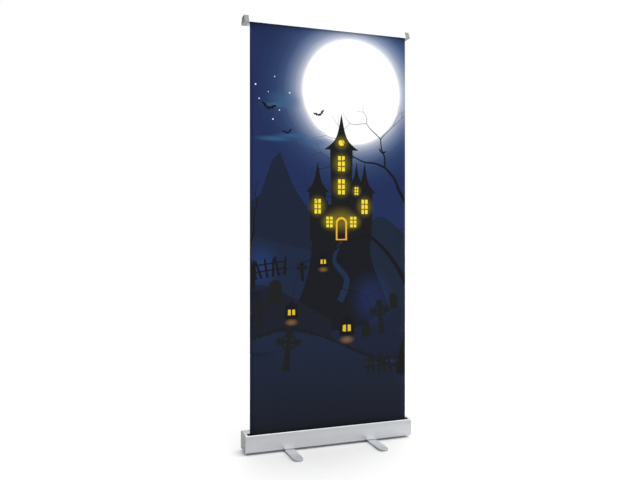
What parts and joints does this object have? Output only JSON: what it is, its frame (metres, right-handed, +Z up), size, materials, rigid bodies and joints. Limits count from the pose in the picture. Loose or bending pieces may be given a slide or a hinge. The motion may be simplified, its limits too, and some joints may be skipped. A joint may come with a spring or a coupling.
{
  "type": "roll-up banner stand",
  "caption": "Free-standing roll-up banner stand: aluminium casing with roller and slot, printed sheet, lid-shaped top rail on a rear pole, and swivel feet.",
  "frame": {"origin": "on the floor under the middle of the base", "axes": "+Z up, +X along the base to the banner's right edge as the viewer sees it, +Y from the printed face to the back"},
  "size_m": [0.9046, 0.422, 2.1725],
  "materials": {
    "casing_aluminium": "satin anodised",
    "foot_aluminium": "satin anodised",
    "roller_aluminium": "mill finish",
    "pole_aluminium": "satin anodised",
    "rail_white": "white powder coat",
    "cap_plastic": "moulded, fine grain",
    "guide_plastic": "extruded, black",
    "socket_plastic": "moulded, black",
    "nylon": "moulded, natural",
    "banner_film": "printed matt film",
    "plate_steel": "zinc plated",
    "screw_steel": "zinc plated",
    "spring_steel": "oiled spring wire",
    "pad_rubber": "moulded, matt",
    "cord_elastic": "braided sleeve"
  },
  "bodies": {
    "base": {"casing": "casing_aluminium", "slot_guide_front": "guide_plastic", "slot_guide_rear": "guide_plastic", "end_plate_left": "plate_steel", "end_plate_right": "plate_steel", "end_plate_screws": "screw_steel", "end_cap_left": "cap_plastic", "end_cap_right": "cap_plastic", "cover_screws": "screw_steel", "idler_axle": "plate_steel", "spring_spindle": "plate_steel", "spring_anchor": "nylon", "banner_sheet": "banner_film", "foot_pivot_bolts": "screw_steel", "foot_pivot_nuts": "screw_steel", "foot_washers": "nylon", "foot_stiffeners": "plate_steel", "pole_socket": "socket_plastic"},
    "roller": {"roller_tube": "roller_aluminium", "roller_plug_left": "nylon", "roller_plug_right": "nylon", "roller_bushes": "nylon", "wound_leader": "banner_film", "retraction_spring": "spring_steel"},
    "rail": {"top_rail": "rail_white", "clamp_bar": "pole_aluminium", "clamp_bar_screws": "screw_steel", "rail_cap_left": "cap_plastic", "rail_cap_right": "cap_plastic", "rail_cap_screws": "screw_steel"},
    "pole": {"pole_lower": "pole_aluminium", "pole_middle": "pole_aluminium", "pole_upper": "pole_aluminium", "ferrule_lower": "pole_aluminium", "ferrule_upper": "pole_aluminium", "pole_foot_plug": "socket_plastic", "pole_head": "socket_plastic", "elastic_cord": "cord_elastic", "cord_stops": "screw_steel"},
    "left_foot": {"foot_left": "foot_aluminium", "foot_pads_left": "pad_rubber"},
    "right_foot": {"foot_right": "foot_aluminium", "foot_pads_right": "pad_rubber"}
  },
  "joints": [
    {"name": "rail_slide", "type": "slide", "parent": "base", "child": "rail", "axis": [0, 0, 1], "range_m": [-2.033, 0.012], "deforming": ["banner_sheet"]},
    {"name": "roller_spin", "type": "hinge", "parent": "base", "child": "roller", "pos_m": [0, -0.00724, 0.05204], "axis": [1, 0, 0], "range_deg": [-30, 5000]},
    {"name": "pole_turn", "type": "hinge", "parent": "base", "child": "pole", "pos_m": [0, 0.03304, 0.0143], "axis": [0, 0, 1], "continuous": true},
    {"name": "foot_left_swing", "type": "hinge", "parent": "base", "child": "left_foot", "pos_m": [-0.225, 0, 0.0102], "axis": [0, 0, 1], "range_deg": [0, 90]},
    {"name": "foot_right_swing", "type": "hinge", "parent": "base", "child": "right_foot", "pos_m": [0.225, 0, 0.0102], "axis": [0, 0, 1], "range_deg": [-90, 0]}
  ],
  "couplings": [
    {"joint": "roller_spin", "follows": "rail_slide", "rad_per_m": -42.873}
  ]
}
